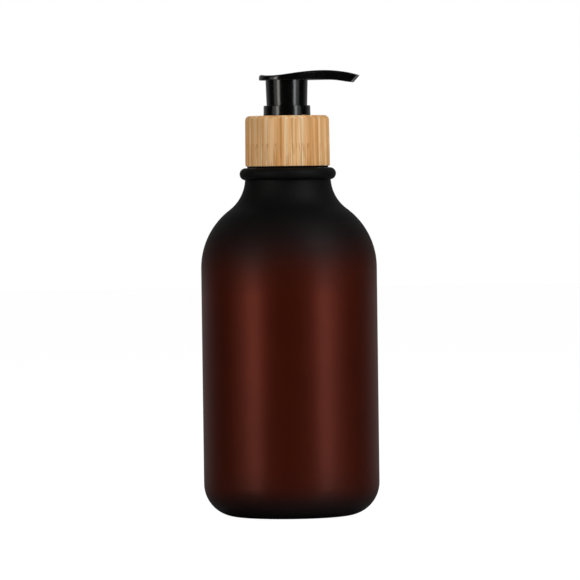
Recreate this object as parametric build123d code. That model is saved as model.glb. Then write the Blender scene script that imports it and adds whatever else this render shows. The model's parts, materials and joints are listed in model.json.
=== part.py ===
from build123d import *
import math
import os

# Soap pump dispenser: a frosted round bottle, a bamboo collar and a lock-up lotion pump.
# Millimetres. Origin: centre of the base on the table. +Z up, +X towards the nozzle.

# Bottle
body_r = 37.5            # outside radius of the straight wall
wall = 1.3               # wall of the blown body
foot_r = 23.5            # outer edge of the flat contact ring
foot_inner_r = 19.5      # inner edge of the contact ring
heel_r = body_r - foot_r             # rounding between base and wall
push_up = 3.0            # height of the dished base at its centre
neck_r = 18.3            # narrowest part of the neck, inside the bead
neck_z = 144.25          # height of that narrowest part
wall_top_z = 105.9       # where the straight wall turns into the shoulder
shoulder_r = 31.1        # convex radius of the shoulder
bead_r = 2.6             # round bead at the top of the neck
bead_centre_r = 17.97
bead_z = 145.92
deck_z = bead_z + bead_r             # flat top of the bead

# Neck finish, 28 mm with one and a half turns of thread
finish_r = 12.5
finish_bore_r = 10.85
finish_top_z = 166.0
thread_pitch = 25.4 / 6
thread_turns = 1.5
thread_sink = 0.3        # how far each thread reaches into the wall it stands on
finish_lip = 0.6         # bevel round the mouth
bottle_thread_r = 13.65
bottle_thread_z = 157.15             # centre of the thread where it starts
closure_thread_drop = 1.62           # the closure thread runs this far below the bottle thread

# Closure and bamboo sleeve
closure_r = 15.4
closure_bore_r = 14.0
closure_foot_r = 17.3    # rim under the sleeve
closure_foot_t = 0.64
closure_thread_r = 12.85
closure_low_z = deck_z + 0.02
closure_top_z = 169.45
closure_step_r = 12.0
closure_deck_z = 168.65
closure_deck_t = 0.9
closure_hole_r = 9.8
glue_gap = 0.02
sleeve_low_z = closure_low_z + closure_foot_t + glue_gap
sleeve_top_z = 170.7
sleeve_low_r = 18.05
sleeve_high_r = 17.9
sleeve_edge_r = 2.0
sleeve_low_edge_r = 0.4
sleeve_hole_r = 10.2

# Pump housing
housing_flange_r = 13.4
housing_flange_z = 166.8
housing_flange_t = 0.9
gasket_t = 0.8
gasket_bore_r = 10.6
cup_r = 10.55
cup_bore_r = 9.72
cup_low_z = 161.4
cylinder_r = 7.9
cylinder_bore_r = 6.95
cylinder_low_z = 121.2
socket_r = 5.2
socket_bore_r = 4.02
socket_low_z = 107.0
socket_top_z = 116.0
vent_z = 155.0
vent_r = 0.6
snap_z = 165.0           # snap bead that holds the lock ring in the housing cup
snap_h = 0.9
snap_depth = 0.2

# Inlet valve
ball_r = 2.25
ball_z = 118.73
seat_gap = 0.03          # the resting ball stays this far off its cone
ball_pocket_r = 2.7
inlet_r = 1.3
retainer_t = 1.0

# Dip tube
tube_r = 4.0
tube_bore_r = 3.2
tube_top_z = 115.8
tube_low_z = 7.3

# Lock ring
ring_low_r = 10.05
ring_high_r = 9.95
ring_top_z = 175.0
ring_bore_r = 9.15
ring_flange_r = 11.7
ring_flange_z = 168.7
ring_flange_t = 0.7
guide_r = 4.3
guide_bore_r = 3.35
guide_low_z = 156.8
guide_top_z = 166.9
lock_collar_r = 6.4
lock_collar_bore_r = 5.6
lock_collar_top_z = 174.3
ring_cup_r = 9.7
ring_cup_bore_r = 8.98
ring_cup_low_z = 162.6
ring_floor_t = 0.9
ring_edge_r = 0.3

# Head
press_travel = 10.0
head_turn = 90.0
skirt_low_z = ring_cup_low_z + ring_floor_t + press_travel + 0.3
skirt_low_r = 8.65
skirt_high_r = 9.0
skirt_bore_r = 7.5
head_under_z = 185.8
head_ceiling_z = 184.4
stem_socket_r = 4.8
stem_socket_low_z = 177.0
lug_w = 1.2
lug_h = 2.0
lug_inner_r = 6.6
stop_gap_deg = 11.0                  # angle between a lug and its stop rib at either limit
channel_r = 1.3
channel_peak = (15.5, 187.6)
channel_arc_r = 64.0
outlet_slope_deg = 8.0
tip_top = (30.9, 187.55)
tip_low = (28.1, 184.5)
heel_x = -11.8
tip_half_w = 4.6
tip_x = 32.0             # beyond the slanted end, which trims the outline
head_edge_r = 1.1
head_low_edge_r = 0.4

# Stem, piston and valve pin
stem_r = 3.25
stem_bore_r = 2.1
stem_low_z = 149.2
stem_top_z = 183.7
stop_collar_r = 4.2
piston_lip_r = 6.9
piston_low_z = 147.2
piston_top_z = 153.7
pin_r = 2.05
pin_top_z = 159.0
pin_flange_r = 5.6
pin_flange_z = 144.2
spring_wire_r = 0.45
spring_r = 4.9
spring_turns = 8.5
spring_low_z = 122.25
spring_top_z = 144.1


def rod(radius, z_low, z_high):
    """A round bar on the centre line."""
    at_bottom = (Align.CENTER, Align.CENTER, Align.MIN)
    return Pos(0, 0, z_low) * Cylinder(radius, z_high - z_low, align=at_bottom)


def tube(bore_r, radius, z_low, z_high):
    """A plain ring or tube on the centre line."""
    return rod(radius, z_low, z_high) - rod(bore_r, z_low, z_high)


def turned(points):
    """A solid of revolution from its (radius, height) corners."""
    return revolve(make_face(Plane.XZ * Polyline(*points, close=True)), Axis.Z)


def thread(root_r, crest_r, root_w, crest_w, start_z):
    """A trapezoid thread on a right-hand helix."""
    path = Helix(thread_pitch, thread_pitch * thread_turns, root_r, center=(0, 0, start_z))
    depth = crest_r - root_r
    corners = [(0, -root_w / 2), (depth, -crest_w / 2), (depth, crest_w / 2), (0, root_w / 2)]
    start = Plane(path @ 0, x_dir=(1, 0, 0), z_dir=path % 0)
    return sweep(make_face(start * Polyline(*corners, close=True)), path=path, is_frenet=True)


def blown_outline(inset):
    """Half outline of the blown body from the base centre up to the neck, moved inwards."""
    dome_r = (foot_inner_r ** 2 + push_up ** 2) / (2 * push_up)
    dome_turn = math.degrees(math.acos((dome_r - push_up + inset) / (dome_r + inset)))
    turn = 2 * math.degrees(math.atan((body_r - neck_r) / (neck_z - wall_top_z)))
    concave_r = (neck_z - wall_top_z) / math.sin(math.radians(turn)) - shoulder_r
    dish = JernArc((0, push_up + inset), (1, 0), dome_r + inset, -dome_turn)
    foot = Line(dish @ 1, (foot_r, inset))
    heel = JernArc(foot @ 1, (1, 0), heel_r - inset, 90)
    side = Line(heel @ 1, (body_r - inset, wall_top_z))
    shoulder = JernArc(side @ 1, (0, 1), shoulder_r - inset, turn)
    flare = JernArc(shoulder @ 1, shoulder % 1, concave_r + inset, -turn)
    return [dish, foot, heel, side, shoulder, flare]


def make_bottle():
    """Blown bottle with a round bead and a 28 mm screw finish, open at the top."""
    outline = blown_outline(0)
    finish = Polyline(
        outline[-1] @ 1,
        (neck_r, bead_z),
        (bead_centre_r, deck_z),
        (finish_r, deck_z),
        (finish_r, finish_top_z - finish_lip),
        (finish_r - finish_lip, finish_top_z),
        (0, finish_top_z),
        (0, push_up),
    )
    outside = make_face(Plane.XZ * (Curve() + outline + [finish]))
    outside += Plane.XZ * Pos(bead_centre_r, bead_z) * Circle(bead_r)

    hollow = blown_outline(wall)
    mouth = Polyline(
        hollow[-1] @ 1,
        (neck_r - wall, bead_z - wall),
        (finish_bore_r, deck_z - 1.2 * wall),
        (finish_bore_r, finish_top_z + 1),
        (0, finish_top_z + 1),
        (0, push_up + wall),
    )
    inside = make_face(Plane.XZ * (Curve() + hollow + [mouth]))
    shell = revolve(outside, Axis.Z) - revolve(inside, Axis.Z)
    root_r = finish_r - thread_sink
    return shell + thread(root_r, bottle_thread_r, 2.2, 1.2, bottle_thread_z)


def make_closure():
    """Plain screw closure that clamps the pump flange on the neck."""
    foot_top_z = closure_low_z + closure_foot_t
    shell = turned([
        (closure_bore_r, closure_low_z),
        (closure_foot_r, closure_low_z),
        (closure_foot_r, foot_top_z),
        (closure_r, foot_top_z),
        (closure_r, closure_top_z),
        (closure_step_r, closure_top_z),
        (closure_step_r, closure_deck_z),
        (closure_hole_r, closure_deck_z),
        (closure_hole_r, closure_deck_z - closure_deck_t),
        (closure_bore_r, closure_deck_z - closure_deck_t),
    ])
    root_r = closure_bore_r + thread_sink
    start_z = bottle_thread_z - closure_thread_drop
    return shell + thread(root_r, closure_thread_r, 1.8, 1.0, start_z)


def make_bamboo_sleeve():
    """Turned bamboo cap glued over the closure, with a soft upper edge."""
    sleeve = turned([
        (closure_r + glue_gap, sleeve_low_z),
        (sleeve_low_r, sleeve_low_z),
        (sleeve_high_r, sleeve_top_z),
        (sleeve_hole_r, sleeve_top_z),
        (sleeve_hole_r, closure_top_z + 0.05),
        (closure_r + glue_gap, closure_top_z + 0.05),
    ])
    rims = sleeve.edges().filter_by(GeomType.CIRCLE).sort_by(SortBy.RADIUS)
    sleeve = fillet(rims[-2], sleeve_edge_r)
    low_rim = sleeve.edges().filter_by(GeomType.CIRCLE).sort_by(SortBy.RADIUS)[-1]
    return fillet(low_rim, sleeve_low_edge_r)


def make_gasket():
    """Flat washer between the bottle mouth and the pump flange."""
    return tube(gasket_bore_r, housing_flange_r - 0.1, finish_top_z, finish_top_z + gasket_t)


def make_housing():
    """Pump cylinder with its flange and cup above, and the inlet seat and tube socket below."""
    cup_floor_z = cup_low_z + 1.1
    seat_apex_z = ball_z - math.sqrt(2) * (ball_r + seat_gap)
    barrel = turned([
        (cup_r, cup_low_z),
        (cup_r, housing_flange_z),
        (housing_flange_r, housing_flange_z),
        (housing_flange_r, housing_flange_z + housing_flange_t),
        (cup_bore_r, housing_flange_z + housing_flange_t),
        (cup_bore_r, cup_floor_z),
        (cylinder_bore_r, cup_floor_z),
        (cylinder_bore_r, cylinder_low_z),
        (ball_pocket_r, cylinder_low_z),
        (ball_pocket_r, seat_apex_z + ball_pocket_r),
        (inlet_r, seat_apex_z + inlet_r),
        (inlet_r, socket_top_z),
        (socket_bore_r, socket_top_z),
        (socket_bore_r, socket_low_z),
        (socket_r, socket_low_z),
        (socket_r, socket_top_z - 0.7),
        (cylinder_r, cylinder_low_z - 2.2),
        (cylinder_r, cup_low_z),
    ])
    groove = tube(0, cup_bore_r + snap_depth, snap_z - snap_h / 2, snap_z + snap_h / 2)
    vent = Pos(0, cylinder_r, vent_z) * Rot(90, 0, 0) * Cylinder(vent_r, 3)
    return barrel - groove - vent


def make_lock_ring():
    """Visible ring over the collar, with the stem guide, lock collar and stop ribs inside."""
    floor_z = ring_cup_low_z + ring_floor_t
    flange_top_z = ring_flange_z + ring_flange_t
    ring = turned([
        (ring_bore_r, ring_top_z),
        (ring_high_r, ring_top_z),
        (ring_low_r, flange_top_z),
        (ring_flange_r, flange_top_z),
        (ring_flange_r, ring_flange_z),
        (ring_cup_r, ring_flange_z),
        (ring_cup_r, snap_z + snap_h / 2 - 0.1),
        (ring_cup_r + snap_depth - 0.02, snap_z + 0.1),
        (ring_cup_r + snap_depth - 0.02, snap_z - 0.1),
        (ring_cup_r, snap_z - snap_h / 2 + 0.1),
        (ring_cup_r, ring_cup_low_z),
        (guide_r, ring_cup_low_z),
        (guide_r, guide_low_z),
        (guide_bore_r, guide_low_z),
        (guide_bore_r, guide_top_z),
        (guide_r, guide_top_z),
        (guide_r, floor_z),
        (ring_cup_bore_r, floor_z),
        (ring_cup_bore_r, ring_flange_z),
        (ring_bore_r, flange_top_z),
    ])
    top_rim = ring.edges().filter_by(GeomType.CIRCLE).group_by(Axis.Z)[-1].sort_by(SortBy.RADIUS)[-1]
    ring = fillet(top_rim, ring_edge_r)
    ring += tube(lock_collar_bore_r, lock_collar_r, floor_z, lock_collar_top_z)
    rib_h = lock_collar_top_z - floor_z
    rib_depth = skirt_bore_r - 0.15 - lock_collar_r
    rib = Pos(lock_collar_r + rib_depth / 2 - 0.1, 0, floor_z + rib_h / 2) * Box(
        rib_depth + 0.2, lug_w, rib_h
    )
    for lug_deg in (0, 180):
        ring += Rot(0, 0, lug_deg - stop_gap_deg) * rib
        ring += Rot(0, 0, lug_deg + head_turn + stop_gap_deg) * rib
    return ring


def head_block():
    """Saddle-shaped top with the spout: the side outline cut to the outline seen from above."""
    crown = Spline(
        (heel_x, 188.45),
        (-5.0, 187.83),
        (5.5, 188.95),
        (15.5, 189.77),
        (24.5, 189.15),
        tip_top,
    )
    belly = Spline((17.0, head_under_z), (23.0, 185.3), tip_low, tangents=[(1, 0), (1, -0.12)])
    side = Polyline(crown @ 0, (heel_x, head_under_z), belly @ 0)
    cut = Line(tip_low, tip_top)
    block = extrude(make_face(Plane.XZ * (Curve() + [crown, side, belly, cut])), 20, both=True)

    flank = Spline((0, -heel_x), (13.0, 8.6), (tip_x, tip_half_w), tangents=[(1, 0), (1, -0.1)])
    heel = ThreePointArc((0, -heel_x), (heel_x, 0), (0, heel_x))
    other_flank = mirror(flank, Plane.XZ)
    tip = Line((tip_x, tip_half_w), (tip_x, -tip_half_w))
    plan = make_face(Curve() + [flank, heel, other_flank, tip])
    return block & extrude(Pos(0, 0, head_under_z - 10) * plan, 20)


def make_actuator():
    """Press head: saddle and spout, tapered skirt, stem socket, lock lugs and soap channel."""
    head = head_block()
    rims = head.edges().filter_by(lambda e: e.center().X < tip_low[0])
    head = fillet(rims.filter_by(lambda e: e.center().Z > head_under_z + 1), head_edge_r)
    low_rims = head.edges().filter_by(lambda e: e.center().X < tip_low[0] - 2)
    head = fillet(low_rims.filter_by(lambda e: e.center().Z < head_under_z + 0.1), head_low_edge_r)
    skirt = turned([
        (skirt_bore_r, skirt_low_z),
        (skirt_low_r, skirt_low_z),
        (skirt_high_r, head_under_z),
        (skirt_high_r, head_under_z + 0.8),
        (0, head_under_z + 0.8),
        (0, head_ceiling_z),
        (skirt_bore_r, head_ceiling_z),
    ])
    head += skirt
    head += rod(stem_socket_r, stem_socket_low_z, head_ceiling_z + 0.5)
    lug_depth = skirt_bore_r + 0.3 - lug_inner_r
    lug = Pos(lug_inner_r + lug_depth / 2, 0, skirt_low_z + lug_h / 2) * Box(lug_depth, lug_w, lug_h)
    head += lug
    head += Rot(0, 0, 180) * lug
    head -= rod(stem_r + 0.02, stem_socket_low_z, stem_top_z)

    peak_x, peak_z = channel_peak
    start_z = peak_z - channel_arc_r * (1 - math.cos(math.asin(peak_x / channel_arc_r)))
    bend = math.degrees(math.asin(peak_x / channel_arc_r)) + outlet_slope_deg
    rise = math.asin(peak_x / channel_arc_r)
    arc = JernArc((0, start_z), (math.cos(rise), math.sin(rise)), channel_arc_r, -bend)
    outlet = Line(arc @ 1, (arc @ 1) + (arc % 1) * 9)
    route = Plane.XZ * (Curve() + [arc, outlet])
    head -= sweep(Plane(route @ 0, z_dir=route % 0) * Circle(channel_r), path=route)
    return head - rod(stem_bore_r, stem_top_z - 1, start_z)


def make_stem():
    """Hollow stem with the stop collar that meets the guide when the head is up."""
    return tube(stem_bore_r, stem_r, stem_low_z, stem_top_z) + tube(
        stem_bore_r, stop_collar_r, guide_low_z - 1.7, guide_low_z - 0.2
    )


def make_piston():
    """Double-lipped piston that slides a little way on the stem to open the outlet valve."""
    return turned([
        (2.6, piston_low_z),
        (4.2, piston_low_z),
        (4.2, 149.6),
        (6.1, 149.6),
        (6.1, piston_low_z + 0.3),
        (piston_lip_r, piston_low_z),
        (6.5, 148.6),
        (6.5, 151.6),
        (piston_lip_r, 153.0),
        (6.1, 152.7),
        (6.1, 150.8),
        (4.2, 150.8),
        (4.2, piston_top_z),
        (stem_r + 0.05, piston_top_z),
        (stem_r + 0.05, 148.05),
        (2.6, 148.05),
    ])


def make_valve_pin():
    """Outlet valve: a fluted shank in the stem, a sealing flange and a spigot for the spring."""
    flange = turned([
        (0, pin_flange_z - 3.1),
        (2.4, pin_flange_z - 3.1),
        (3.6, pin_flange_z),
        (pin_flange_r, pin_flange_z),
        (pin_flange_r, pin_flange_z + 1.2),
        (3.4, piston_low_z - 1.0),
        (2.3, piston_low_z - 0.1),
        (0, piston_low_z - 0.1),
    ])
    shank_h = pin_top_z - piston_low_z + 0.1
    shank = Pos(0, 0, pin_top_z - shank_h / 2) * (
        Box(2 * pin_r, 1.0, shank_h) + Box(1.0, 2 * pin_r, shank_h)
    )
    return flange + (shank & rod(pin_r, piston_low_z - 0.1, pin_top_z))


def make_spring():
    """Return spring between the ball retainer and the valve pin."""
    height = spring_top_z - spring_low_z - 2 * spring_wire_r
    coil = Helix(height / spring_turns, height, spring_r, center=(0, 0, spring_low_z + spring_wire_r))
    return sweep(Plane(coil @ 0, z_dir=coil % 0) * Circle(spring_wire_r), path=coil, is_frenet=True)


def make_spring_retainer():
    """Disc that carries the spring and keeps the inlet ball in its pocket with a cross bar."""
    top_z = cylinder_low_z + retainer_t
    ring = tube(3.2, cylinder_bore_r - 0.1, cylinder_low_z, top_z)
    bars = Box(8.6, 1.0, 0.8) + Box(1.0, 8.6, 0.8)
    return ring + Pos(0, 0, top_z + 0.4) * (bars & Cylinder(4.3, 0.8))


def make_inlet_ball():
    """Ball of the inlet check valve, resting on its cone."""
    return Pos(0, 0, ball_z) * Sphere(ball_r)


def make_dip_tube():
    """Long tube to the bottom of the bottle with a slanted end."""
    straight = tube(tube_bore_r, tube_r, tube_low_z, tube_top_z)
    slant = Plane(origin=(0, 0, tube_low_z + tube_r), z_dir=(-1, 0, 1))
    return split(straight, bisect_by=slant, keep=Keep.TOP)


parts = {
    "bottle": make_bottle(),
    "closure": make_closure(),
    "bamboo_sleeve": make_bamboo_sleeve(),
    "gasket": make_gasket(),
    "housing": make_housing(),
    "lock_ring": make_lock_ring(),
    "actuator": make_actuator(),
    "stem": make_stem(),
    "piston": make_piston(),
    "valve_pin": make_valve_pin(),
    "spring": make_spring(),
    "spring_retainer": make_spring_retainer(),
    "inlet_ball": make_inlet_ball(),
    "dip_tube": make_dip_tube(),
}

os.makedirs("parts", exist_ok=True)
for name, solid in parts.items():
    export_step(solid, f"parts/{name}.step")
    print(f"{name}: {solid.volume / 1000:.2f} cm3")
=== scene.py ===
import bpy
import json
import math
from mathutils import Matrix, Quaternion, Vector


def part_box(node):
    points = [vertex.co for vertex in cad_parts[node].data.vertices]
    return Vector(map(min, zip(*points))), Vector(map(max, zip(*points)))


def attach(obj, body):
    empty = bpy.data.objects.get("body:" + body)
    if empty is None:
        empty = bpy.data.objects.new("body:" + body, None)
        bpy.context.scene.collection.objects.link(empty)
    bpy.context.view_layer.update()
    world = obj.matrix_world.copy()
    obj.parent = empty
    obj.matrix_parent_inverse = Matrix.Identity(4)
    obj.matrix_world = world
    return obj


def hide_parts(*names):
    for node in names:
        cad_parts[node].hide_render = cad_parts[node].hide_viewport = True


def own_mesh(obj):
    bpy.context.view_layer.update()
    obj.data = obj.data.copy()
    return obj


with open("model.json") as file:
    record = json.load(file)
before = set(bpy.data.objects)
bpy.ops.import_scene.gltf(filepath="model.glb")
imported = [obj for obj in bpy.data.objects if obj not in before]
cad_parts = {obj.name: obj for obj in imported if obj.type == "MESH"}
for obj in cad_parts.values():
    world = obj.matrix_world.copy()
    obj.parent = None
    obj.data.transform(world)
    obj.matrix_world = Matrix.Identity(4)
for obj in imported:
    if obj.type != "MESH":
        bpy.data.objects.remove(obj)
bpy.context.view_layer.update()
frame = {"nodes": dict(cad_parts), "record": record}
nodes = frame["nodes"]
print("frame loaded, nodes:", len(nodes))

# Camera and studio
shot = {
    "turn": 8.0,  # degrees, the spout points a little towards the camera
    "distance": 2.145,  # metres from the bottle's axis
    "height": 0.150,
    "aimHeight": 0.0963,
    "aimSide": 0.0003,
    "lens": 312,
    "lean": 0.75,  # degrees, the bottle's top leans a little to the left
}


def roundAxis(angle, distance, height):
    side = math.radians(angle + shot["turn"])
    return Vector((math.sin(side) * distance, -math.cos(side) * distance, height))


def placeCamera():
    shift = roundAxis(90, shot["aimSide"], 0)
    eye = roundAxis(0, shot["distance"], shot["height"]) + shift
    target = Vector((0, 0, shot["aimHeight"])) + shift
    bpy.ops.object.camera_add(location=eye)
    camera = bpy.context.object
    camera.name = "studioCamera"
    camera.data.lens = shot["lens"]
    camera.data.sensor_width = 36
    camera.data.clip_end = 20
    camera.rotation_mode = "QUATERNION"
    roll = Quaternion((0, 0, 1), math.radians(-shot["lean"]))
    camera.rotation_quaternion = (target - eye).to_track_quat("-Z", "Y") @ roll
    bpy.context.scene.camera = camera


panels = {
    # degrees round the bottle, metres away, middle height, width, height, glow, colour
    "leftStrip": (-47, 1.0, 0.31, 0.25, 0.86, 5.2, (1.0, 0.97, 0.90)),
    "leftSpill": (-65, 1.0, 0.30, 0.34, 0.70, 0.9, (1.0, 0.98, 0.95)),
    "rightStrip": (45, 1.0, 0.42, 0.24, 0.94, 5.4, (0.94, 0.98, 1.0)),
    "rightSpill": (62, 1.0, 0.45, 0.32, 1.00, 0.9, (0.96, 0.98, 1.0)),
    "rightHigh": (52, 1.0, 1.15, 0.70, 0.50, 6.0, (0.96, 0.98, 1.0)),
    "leftHigh": (-65, 1.0, 1.15, 0.60, 0.50, 0.8, (1.0, 0.98, 0.95)),
}
studio = {
    "floorRadius": 4.0,
    "floorDrop": 0.0003,  # just under the bottle's foot
    "floorGlow": 0.97,
    "floorShade": 0.70,
    "floorMetal": 0.9,  # the floor as the bottle sees it, a dim mirror
    "floorRoughness": 0.15,
    "ambient": 0.02,
    "behind": 0.40,  # the lit backdrop, as the bottle sees it
    "fade": (0.2, 0.75),  # from the dark sides to the lit backdrop
    "backdrop": 1.0,
}


def placePanel(name):
    angle, distance, middle, width, height, glow, colour = panels[name]
    place = roundAxis(angle, distance, middle)
    bpy.ops.object.light_add(type="AREA", location=place)
    lamp = bpy.context.object
    lamp.name = name
    lamp.data.shape = "RECTANGLE"
    lamp.data.size = width
    lamp.data.size_y = height
    lamp.data.energy = glow * math.pi * width * height
    lamp.data.color = colour
    lamp.rotation_mode = "QUATERNION"
    lamp.rotation_quaternion = (Vector((0, 0, middle * 0.5)) - place).to_track_quat("-Z", "Y")
    lamp.visible_camera = False


def lightWorld():
    world = bpy.data.worlds.new("studioWorld")
    bpy.context.scene.world = world
    world.use_nodes = True
    tree = world.node_tree
    tree.nodes.clear()
    out = tree.nodes.new("ShaderNodeOutputWorld")
    mix = tree.nodes.new("ShaderNodeMixShader")
    path = tree.nodes.new("ShaderNodeLightPath")
    dim = tree.nodes.new("ShaderNodeBackground")
    pale = tree.nodes.new("ShaderNodeBackground")
    pale.inputs["Color"].default_value = (1, 1, 1, 1)
    pale.inputs["Strength"].default_value = studio["backdrop"]
    # for the bottle it is dark round the camera and pale behind the bottle
    place = tree.nodes.new("ShaderNodeTexCoord")
    facing = tree.nodes.new("ShaderNodeVectorMath")
    facing.operation = "DOT_PRODUCT"
    facing.inputs[1].default_value = roundAxis(180, 1, 0)
    fade = tree.nodes.new("ShaderNodeMapRange")
    fade.inputs["From Min"].default_value, fade.inputs["From Max"].default_value = studio["fade"]
    fade.inputs["To Min"].default_value = studio["ambient"]
    fade.inputs["To Max"].default_value = studio["behind"]
    tree.links.new(place.outputs["Generated"], facing.inputs[0])
    tree.links.new(facing.outputs["Value"], fade.inputs["Value"])
    tree.links.new(fade.outputs["Result"], dim.inputs["Strength"])
    tree.links.new(path.outputs["Is Camera Ray"], mix.inputs["Fac"])
    tree.links.new(dim.outputs["Background"], mix.inputs[1])
    tree.links.new(pale.outputs["Background"], mix.inputs[2])
    tree.links.new(mix.outputs["Shader"], out.inputs["Surface"])


def layFloor():
    bpy.ops.object.select_all(action="DESELECT")
    place = (0, 0, -studio["floorDrop"])
    bpy.ops.mesh.primitive_circle_add(
        vertices=96, radius=studio["floorRadius"], fill_type="NGON", location=place
    )
    floor = bpy.context.object
    floor.name = "paleFloor"
    made = bpy.data.materials.new("paleFloor")
    made.use_nodes = True
    tree = made.node_tree
    tree.nodes.clear()
    out = tree.nodes.new("ShaderNodeOutputMaterial")
    mix = tree.nodes.new("ShaderNodeMixShader")
    path = tree.nodes.new("ShaderNodeLightPath")
    seen = tree.nodes.new("ShaderNodeBsdfPrincipled")
    unseen = tree.nodes.new("ShaderNodeBsdfPrincipled")
    seen.inputs["Base Color"].default_value = (0.2, 0.2, 0.2, 1)
    seen.inputs["Roughness"].default_value = 0.9
    seen.inputs["Specular IOR Level"].default_value = 0
    seen.inputs["Emission Color"].default_value = (1, 1, 1, 1)
    seen.inputs["Emission Strength"].default_value = studio["floorGlow"]
    shade = studio["floorShade"]
    unseen.inputs["Base Color"].default_value = (shade, shade, shade, 1)
    unseen.inputs["Metallic"].default_value = studio["floorMetal"]
    unseen.inputs["Roughness"].default_value = studio["floorRoughness"]
    tree.links.new(path.outputs["Is Camera Ray"], mix.inputs["Fac"])
    tree.links.new(unseen.outputs["BSDF"], mix.inputs[1])
    tree.links.new(seen.outputs["BSDF"], mix.inputs[2])
    tree.links.new(mix.outputs["Shader"], out.inputs["Surface"])
    floor.data.materials.append(made)


bpy.context.scene.view_settings.view_transform = "Standard"
placeCamera()
lightWorld()
layFloor()
for panel in panels:
    placePanel(panel)
print("camera, lights and floor placed")


# Materials
def startMaterial(name):
    made = bpy.data.materials.new(name)
    made.use_nodes = True
    return made, made.node_tree, made.node_tree.nodes["Principled BSDF"]


def addNode(tree, kind, **settings):
    node = tree.nodes.new("ShaderNode" + kind)
    for setting, value in settings.items():
        setattr(node, setting, value)
    return node


def addNoise(tree, vector, scale, detail=3.0, rough=0.5):
    noise = addNode(tree, "TexNoise")
    noise.inputs["Scale"].default_value = scale
    noise.inputs["Detail"].default_value = detail
    noise.inputs["Roughness"].default_value = rough
    tree.links.new(vector, noise.inputs["Vector"])
    return noise.outputs["Fac"]


def addRange(tree, value, fromLow, fromHigh, toLow, toHigh):
    node = addNode(tree, "MapRange")
    spans = {"From Min": fromLow, "From Max": fromHigh, "To Min": toLow, "To Max": toHigh}
    for socket, number in spans.items():
        node.inputs[socket].default_value = number
    tree.links.new(value, node.inputs["Value"])
    return node.outputs["Result"]


def addMaths(tree, operation, a, b):
    node = addNode(tree, "Math", operation=operation)
    for socket, value in zip(node.inputs, (a, b)):
        if isinstance(value, (int, float)):
            socket.default_value = value
        else:
            tree.links.new(value, socket)
    return node.outputs["Value"]


def addBump(tree, shader, height, strength, distance):
    bump = addNode(tree, "Bump")
    bump.inputs["Strength"].default_value = strength
    bump.inputs["Distance"].default_value = distance
    tree.links.new(height, bump.inputs["Height"])
    tree.links.new(bump.outputs["Normal"], shader.inputs["Normal"])


def addRamp(tree, value, stops):
    ramp = addNode(tree, "ValToRGB")
    keys = ramp.color_ramp.elements
    while len(keys) < len(stops):
        keys.new(0.5)
    for key, (place, colour) in zip(keys, stops):
        key.position = place
        key.color = (*colour, 1)
    tree.links.new(value, ramp.inputs["Fac"])
    return ramp.outputs["Color"]


def mixColour(tree, blend, amount, a, b):
    mix = addNode(tree, "Mix", data_type="RGBA", blend_type=blend)
    sockets = [s for s in mix.inputs if s.type in ("VALUE", "RGBA") and s.enabled]
    for socket, value in zip(sockets, (amount, a, b)):
        if isinstance(value, (int, float)):
            socket.default_value = value
        elif isinstance(value, tuple):
            socket.default_value = (*value, 1)
        else:
            tree.links.new(value, socket)
    return [s for s in mix.outputs if s.enabled][0]


amber = {
    "body": (0.080, 0.0090, 0.0022),
    "deep": (0.0030, 0.0028, 0.0029),  # near-black at heel and neck: partly the thicker plastic there, partly painted shade where the lit band of the body ends
    "farWall": 0.60,  # share of light that comes back red from the far wall
    "roughness": 0.42,
    "thickRoughness": 0.58,
    "gloss": 0.10,
    "skin": 0.09,  # the clear frosted skin, as a coat
    "skinRoughness": 0.36,
    "grainSize": 2600,
    "grainDepth": 0.00002,
    "mottleSize": 60,
    "mottle": (0.93, 1.07),
    "speckle": 0.03,  # how far the grain changes the roughness
    "rampTop": 0.15,  # metres, above this the glow stays as it is
    # how much red shows at a height, in metres: a painted fade that darkens the red colour and its red
    # reflection towards shoulder and heel, where the lamps' streaks die away
    "glow": [(0.0, 0.0), (0.004, 0.06), (0.0080, 0.22), (0.0135, 0.68), (0.022, 0.88), (0.060, 0.97),
             (0.094, 1.0), (0.1047, 0.68), (0.113, 0.24), (0.120, 0.06), (0.128, 0.0)],
}


def makeFrostedAmber():
    made, tree, shader = startMaterial("frostedAmber")
    place = addNode(tree, "TexCoord").outputs["Object"]
    split = addNode(tree, "SeparateXYZ")
    tree.links.new(place, split.inputs["Vector"])
    top = amber["rampTop"]
    height = addRange(tree, split.outputs["Z"], 0, top, 0, 1)
    # painted shade: this ramp darkens the colour and, through the metallic share, the red reflection
    # towards the shoulder and the heel
    glow = addRamp(tree, height, [(z / top, (share, share, share)) for z, share in amber["glow"]])
    clouds = addNoise(tree, place, amber["mottleSize"], 4)
    mottle = addRange(tree, clouds, 0.3, 0.7, *amber["mottle"])
    colour = mixColour(tree, "MIX", glow, amber["deep"], amber["body"])
    colour = mixColour(tree, "MULTIPLY", 1.0, colour, mottle)
    tree.links.new(colour, shader.inputs["Base Color"])
    tree.links.new(addMaths(tree, "MULTIPLY", glow, amber["farWall"]), shader.inputs["Metallic"])
    speckle = addNoise(tree, place, amber["grainSize"], 2)
    rough = addRange(tree, glow, 0, 1, amber["thickRoughness"], amber["roughness"])
    grain = addRange(tree, speckle, 0.3, 0.7, -amber["speckle"], amber["speckle"])
    rough = addMaths(tree, "ADD", rough, grain)
    tree.links.new(rough, shader.inputs["Roughness"])
    addBump(tree, shader, speckle, 0.3, amber["grainDepth"])
    shader.inputs["IOR"].default_value = 1.5
    shader.inputs["Specular IOR Level"].default_value = amber["gloss"]
    skin = addRange(tree, glow, 0, 1, 0.0, amber["skin"])
    tree.links.new(skin, shader.inputs["Coat Weight"])
    shader.inputs["Coat Roughness"].default_value = amber["skinRoughness"]
    return made


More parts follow.
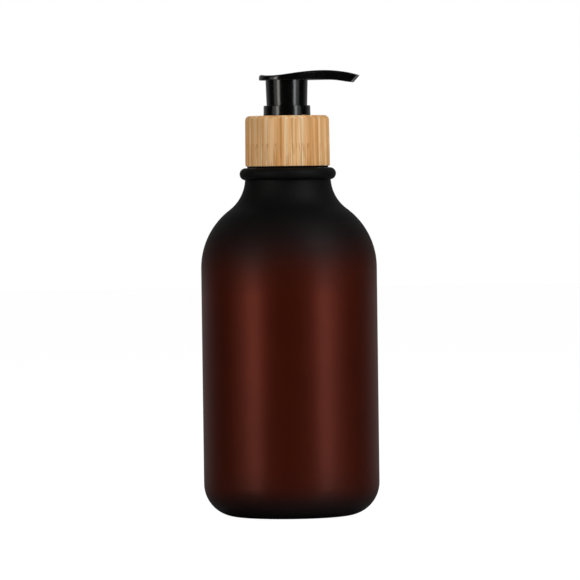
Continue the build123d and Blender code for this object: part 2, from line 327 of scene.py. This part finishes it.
bamboo = {
    "strip": 0.0062,  # width of one glued strip
    "layer": 0.0130,
    "pale": (0.99, 0.75, 0.46),
    "mid": (0.95, 0.578, 0.262),
    "deep": (0.77, 0.390, 0.130),
    "vein": (0.60, 0.26, 0.062),
    "stretch": 0.014,  # how much the grain is drawn out along the height
    "dashStretch": 0.09,
    "bandSize": 420,
    "fibreSize": 1500,
    "hairSize": 2600,
    "veinSize": 560,
    "dashSize": 1500,
    "nodeHeight": 0.1585,  # below it the fibres break up into short dashes
    "cut": (0.0, 0.017, 0.0),  # where in the stalk the sleeve was cut
    "tones": (0.36, 0.49, 0.66),  # where deep, mid and pale stand in the bands
    "stripShift": 0.07,
    "hairShade": (0.87, 1.08),
    "fibreShare": 0.75,
    "veinShare": 0.6,
    "dashShare": 0.7,
    "roughness": (0.58, 0.46),
    "shine": 0.25,
    "reliefDepth": 0.00003,
}


def addGrain(tree, place, stretch, size, detail):
    drawn = addNode(tree, "Mapping")
    drawn.inputs["Scale"].default_value = (1, 1, stretch)
    drawn.inputs["Location"].default_value = bamboo["cut"]
    tree.links.new(place, drawn.inputs["Vector"])
    return addNoise(tree, drawn.outputs["Vector"], size, detail)


def makeBamboo():
    made, tree, shader = startMaterial("bamboo")
    place = addNode(tree, "TexCoord").outputs["Object"]
    # every glued strip has its own shade
    snap = addNode(tree, "VectorMath", operation="SNAP")
    snap.inputs[1].default_value = (bamboo["strip"], bamboo["layer"], 10)
    tree.links.new(place, snap.inputs[0])
    own = addNode(tree, "TexWhiteNoise")
    tree.links.new(snap.outputs["Vector"], own.inputs["Vector"])
    stripShade = addRange(tree, own.outputs["Value"], 0, 1, -bamboo["stripShift"], bamboo["stripShift"])
    bands = addGrain(tree, place, bamboo["stretch"], bamboo["bandSize"], 2)
    fibres = addGrain(tree, place, bamboo["stretch"], bamboo["fibreSize"], 2)
    hairs = addGrain(tree, place, bamboo["stretch"], bamboo["hairSize"], 3)
    tone = addMaths(tree, "ADD", bands, stripShade)
    colours = (bamboo["deep"], bamboo["mid"], bamboo["pale"])
    colour = addRamp(tree, tone, list(zip(bamboo["tones"], colours)))
    fibreShade = addRange(tree, fibres, 0.36, 0.52, bamboo["fibreShare"], 0.0)
    colour = mixColour(tree, "MIX", fibreShade, colour, bamboo["deep"])
    hairShade = addRange(tree, hairs, 0.32, 0.68, *bamboo["hairShade"])
    colour = mixColour(tree, "MULTIPLY", 1.0, colour, hairShade)
    veins = addGrain(tree, place, bamboo["stretch"], bamboo["veinSize"], 1)
    vein = addRange(tree, veins, 0.27, 0.33, bamboo["veinShare"], 0.0)
    colour = mixColour(tree, "MIX", vein, colour, bamboo["vein"])
    split = addNode(tree, "SeparateXYZ")
    tree.links.new(place, split.inputs["Vector"])
    nodeLine = bamboo["nodeHeight"]
    below = addRange(tree, split.outputs["Z"], nodeLine, nodeLine + 0.0006, 0.8, 0.0)
    dashes = addGrain(tree, place, bamboo["dashStretch"], bamboo["dashSize"], 1)
    dash = addRange(tree, dashes, 0.36, 0.44, bamboo["dashShare"], 0.0)
    dash = addMaths(tree, "MULTIPLY", dash, below)
    colour = mixColour(tree, "MIX", dash, colour, bamboo["vein"])
    tree.links.new(colour, shader.inputs["Base Color"])
    tree.links.new(addRange(tree, fibres, 0.3, 0.7, *bamboo["roughness"]), shader.inputs["Roughness"])
    shader.inputs["Specular IOR Level"].default_value = bamboo["shine"]
    shader.inputs["Diffuse Roughness"].default_value = 0.5
    relief = addMaths(tree, "ADD", fibres, hairs)
    addBump(tree, shader, relief, 0.15, bamboo["reliefDepth"])
    return made


black = {
    "shade": (0.001, 0.002),
    "gloss": (0.15, 0.20),  # roughness of what is moulded to be seen
    "dull": (0.55, 0.65),  # roughness of the cap inside the sleeve
    "glossShine": 0.5,
    "dullShine": 0.08,
    "flowSize": 900,
}


def makeBlackPlastic(name, kind):
    made, tree, shader = startMaterial(name)
    place = addNode(tree, "TexCoord").outputs["Object"]
    flow = addNoise(tree, place, black["flowSize"], 3)
    tree.links.new(addRange(tree, flow, 0.3, 0.7, *black["shade"]), shader.inputs["Base Color"])
    tree.links.new(addRange(tree, flow, 0.3, 0.7, *black[kind]), shader.inputs["Roughness"])
    shader.inputs["Specular IOR Level"].default_value = black[kind + "Shine"]
    addBump(tree, shader, flow, 0.04, 0.00001)
    return made


def makeNaturalPlastic():
    made, tree, shader = startMaterial("naturalPlastic")
    place = addNode(tree, "TexCoord").outputs["Object"]
    cloud = addNoise(tree, place, 260, 3)
    colour = addRamp(tree, cloud, [(0.3, (0.70, 0.70, 0.66)), (0.7, (0.80, 0.80, 0.77))])
    tree.links.new(colour, shader.inputs["Base Color"])
    tree.links.new(addRange(tree, cloud, 0.3, 0.7, 0.34, 0.44), shader.inputs["Roughness"])
    return made


def makeFoam():
    made, tree, shader = startMaterial("gasketFoam")
    place = addNode(tree, "TexCoord").outputs["Object"]
    pores = addNoise(tree, place, 3500, 2)
    colour = addRamp(tree, pores, [(0.35, (0.62, 0.62, 0.60)), (0.6, (0.84, 0.84, 0.82))])
    tree.links.new(colour, shader.inputs["Base Color"])
    shader.inputs["Roughness"].default_value = 0.85
    addBump(tree, shader, pores, 0.5, 0.00005)
    return made


def makeSteel(name, roughLow, roughHigh):
    made, tree, shader = startMaterial(name)
    place = addNode(tree, "TexCoord").outputs["Object"]
    draw = addNoise(tree, place, 1800, 3)
    colour = addRamp(tree, draw, [(0.3, (0.52, 0.52, 0.53)), (0.7, (0.66, 0.66, 0.67))])
    tree.links.new(colour, shader.inputs["Base Color"])
    shader.inputs["Metallic"].default_value = 1.0
    tree.links.new(addRange(tree, draw, 0.3, 0.7, roughLow, roughHigh), shader.inputs["Roughness"])
    return made


finishes = {
    "frosted_amber": makeFrostedAmber(),
    "bamboo": makeBamboo(),
    "black_plastic": makeBlackPlastic("blackPlastic", "gloss"),
    "natural_plastic": makeNaturalPlastic(),
    "gasket_foam": makeFoam(),
    "spring_steel": makeSteel("springWire", 0.25, 0.38),
    "ball_steel": makeSteel("ballSteel", 0.08, 0.14),
}
print("materials made:", len(finishes))

for part in frame["record"]["subparts"]:
    node = nodes[part["node"]]
    for slot in node.material_slots:
        slot.material = finishes[part["material_slot"]]
dullBlack = makeBlackPlastic("dullBlackPlastic", "dull")  # the cap hides in the sleeve's shade
for slot in nodes["closure"].material_slots:
    slot.material = dullBlack


# Turned pieces: an outline in millimetres is drawn point by point, then spun round the axis
def arcPoints(centre, radius, fromTurn, toTurn, steps):
    points = []
    for step in range(steps + 1):
        turn = math.radians(fromTurn + (toTurn - fromTurn) * step / steps)
        points.append((centre[0] + radius * math.cos(turn), centre[1] + radius * math.sin(turn)))
    return points


def runPoints(start, end, steps):
    return [tuple(a + (b - a) * step / steps for a, b in zip(start, end)) for step in range(1, steps)]


def heights(node):
    # lowest and highest level of a node of the frame, in millimetres
    low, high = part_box(node)
    return round(low[2] * 1000, 2), round(high[2] * 1000, 2)


def drawOutline(name, outline):
    bpy.ops.object.select_all(action="DESELECT")
    bpy.ops.mesh.primitive_circle_add(vertices=3, radius=0.001, enter_editmode=True)
    piece = bpy.context.object
    piece.name = name
    bpy.ops.mesh.select_all(action="SELECT")
    bpy.ops.mesh.merge(type="COLLAPSE")
    last = (0, 0)
    for number, (radius, height) in enumerate(outline):
        shift = ((radius - last[0]) / 1000, 0, (height - last[1]) / 1000)
        if number == 0:
            bpy.ops.transform.translate(value=shift)
        else:
            bpy.ops.mesh.extrude_region_move(TRANSFORM_OT_translate={"value": shift})
        last = (radius, height)
    return piece


def spinOutline(name, outline, segments, sharp=32, closed=False):
    piece = drawOutline(name, outline)
    bpy.ops.mesh.select_all(action="SELECT")
    if closed:
        bpy.ops.mesh.remove_doubles(threshold=1e-7)
    bpy.ops.mesh.spin(steps=segments, angle=2 * math.pi, center=(0, 0, 0), axis=(0, 0, 1))
    bpy.ops.mesh.select_all(action="SELECT")
    bpy.ops.mesh.remove_doubles(threshold=1e-6)
    bpy.ops.mesh.normals_make_consistent(inside=False)
    bpy.ops.object.mode_set(mode="OBJECT")
    bpy.ops.object.shade_smooth_by_angle(angle=math.radians(sharp))
    return piece


bottleShape = {
    "bodyRadius": 37.5,
    "wall": 1.3,
    "footRadius": 23.5,
    "footInside": 19.5,
    "pushUp": 3.0,
    "wallTop": 105.9,
    "shoulderRadius": 31.1,
    "neckRadius": 18.3,
    "neckHeight": 144.25,
    "bead": (17.97, 145.92),
    "beadRadius": 2.6,
    "finishRadius": 12.5,
    "bore": 10.85,
    "deckEdge": 0.4,  # bevel where the finish stands on the bead
    "lip": 0.6,  # rounding of the mouth
    "segments": 160,
}


def bodyOutline(inset):
    # from the middle of the base, over heel, wall and shoulder, to the neck
    shape = bottleShape
    shoulder = shape["shoulderRadius"]
    body = shape["bodyRadius"]
    rise = shape["neckHeight"] - shape["wallTop"]
    turn = 2 * math.degrees(math.atan((body - shape["neckRadius"]) / rise))
    flare = rise / math.sin(math.radians(turn)) - shoulder
    heel = body - shape["footRadius"]
    dome = (shape["footInside"] ** 2 + shape["pushUp"] ** 2) / (2 * shape["pushUp"])
    edge = math.degrees(math.acos((dome - shape["pushUp"] + inset) / (dome + inset)))
    points = arcPoints((0, shape["pushUp"] - dome), dome + inset, 90, 90 - edge, 10)
    points += arcPoints((shape["footRadius"], heel), heel - inset, -90, 0, 20)
    points += runPoints((body - inset, heel), (body - inset, shape["wallTop"]), 14)
    points += arcPoints((body - shoulder, shape["wallTop"]), shoulder - inset, 0, turn, 26)
    centre = (shape["neckRadius"] + flare, shape["neckHeight"])
    points += arcPoints(centre, flare + inset, 180 + turn, 180, 22)[1:]
    return points


def makeBottle():
    shape = bottleShape
    beadR, beadZ = shape["bead"]
    reach = shape["beadRadius"]
    mouth = heights("bottle")[1]
    deck = beadZ + reach
    low = -math.degrees(math.acos((shape["neckRadius"] - beadR) / reach))
    finish, lip, edge = shape["finishRadius"], shape["lip"], shape["deckEdge"]
    outside = [point for point in bodyOutline(0) if point[1] < beadZ - reach * 0.99]
    outside += arcPoints(shape["bead"], reach, low, 90, 20)
    outside += [(finish + edge, deck), (finish, deck + edge)]
    outside += arcPoints((finish - lip, mouth - lip), lip, 0, 90, 5)
    inside = bodyOutline(shape["wall"])
    inside += [(shape["neckRadius"] - shape["wall"], beadZ - shape["wall"])]
    inside += [(shape["bore"], deck - 1.2 * shape["wall"]), (shape["bore"], mouth)]
    shell = spinOutline("bottleShell", outside + inside[::-1], shape["segments"])
    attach(shell, "bottle")
    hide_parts("bottle")
    shell.data.materials.append(finishes["frosted_amber"])
    print("bottle made")


def coilUp(piece, pitch, turns, steps):
    # the drawn outline climbs round the bottle's axis, and both ends are closed
    bpy.ops.mesh.select_all(action="SELECT")
    bpy.ops.mesh.remove_doubles(threshold=1e-7)
    bpy.ops.object.mode_set(mode="OBJECT")
    coil = piece.modifiers.new("coil", "SCREW")
    coil.angle = 2 * math.pi * turns
    coil.screw_offset = pitch * turns / 1000
    coil.steps = coil.render_steps = steps
    bpy.ops.object.modifier_apply(modifier=coil.name)
    bpy.ops.object.mode_set(mode="EDIT")
    bpy.ops.mesh.select_all(action="SELECT")
    bpy.ops.mesh.fill_holes(sides=0)
    bpy.ops.mesh.normals_make_consistent(inside=False)
    bpy.ops.object.mode_set(mode="OBJECT")
    bpy.ops.object.shade_smooth_by_angle(angle=math.radians(40))


threadShape = {
    "root": 12.2,
    "crest": 13.65,
    "rootWidth": 2.2,
    "crestWidth": 1.2,
    "start": 157.15,
    "pitch": 25.4 / 6,
    "turns": 1.5,
    "steps": 120,
}


def makeThread():
    shape = threadShape
    low, high = shape["rootWidth"] / 2, shape["crestWidth"] / 2
    root, crest, start = shape["root"], shape["crest"], shape["start"]
    outline = [(root, start - low), (crest, start - high), (crest, start + high), (root, start + low)]
    ridge = drawOutline("neckThread", outline + outline[:1])
    coilUp(ridge, shape["pitch"], shape["turns"], shape["steps"])
    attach(ridge, "bottle")
    ridge.data.materials.append(finishes["frosted_amber"])
    print("neck thread made")


springShape = {
    "radius": 4.9,
    "wire": 0.45,
    "turns": 8.5,
    "steps": 400,
    "stroke": 10.0,
}


def makeSpring():
    shape = springShape
    low, top = heights("spring")
    length = top - low
    wire = arcPoints((shape["radius"], low + shape["wire"]), shape["wire"], 0, 360, 12)
    spring = drawOutline("returnSpring", wire)
    pitch = (length - 2 * shape["wire"]) / shape["turns"]
    coilUp(spring, pitch, shape["turns"], shape["steps"])
    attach(spring, "pump")
    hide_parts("spring")
    spring.data.materials.append(finishes["spring_steel"])
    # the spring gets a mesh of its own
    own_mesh(spring)
    print("return spring made")


sleeveShape = {
    "inside": 15.42,
    "lowRadius": 18.05,
    "highRadius": 17.9,
    "hole": 10.2,
    "ceiling": 169.5,
    "lowEdge": 0.4,
    "topEdge": 2.0,
    "holeEdge": 0.2,
    "segments": 192,
}


def makeSleeve():
    shape = sleeveShape
    low, top = heights("bamboo_sleeve")
    lowEdge, topEdge, holeEdge = shape["lowEdge"], shape["topEdge"], shape["holeEdge"]
    outline = [(shape["inside"], low)]
    outline += arcPoints((shape["lowRadius"] - lowEdge, low + lowEdge), lowEdge, -90, 0, 4)
    outline += arcPoints((shape["highRadius"] - topEdge, top - topEdge), topEdge, 0, 90, 9)
    outline += arcPoints((shape["hole"] + holeEdge, top - holeEdge), holeEdge, 90, 180, 3)
    outline += [(shape["hole"], shape["ceiling"]), (shape["inside"], shape["ceiling"])]
    outline += [(shape["inside"], low)]
    sleeve = spinOutline("bambooSleeve", outline, shape["segments"], closed=True)
    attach(sleeve, "collar")
    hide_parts("bamboo_sleeve")
    sleeve.data.materials.append(finishes["bamboo"])
    print("bamboo sleeve made")


makeBottle()
makeThread()
makeSpring()
makeSleeve()
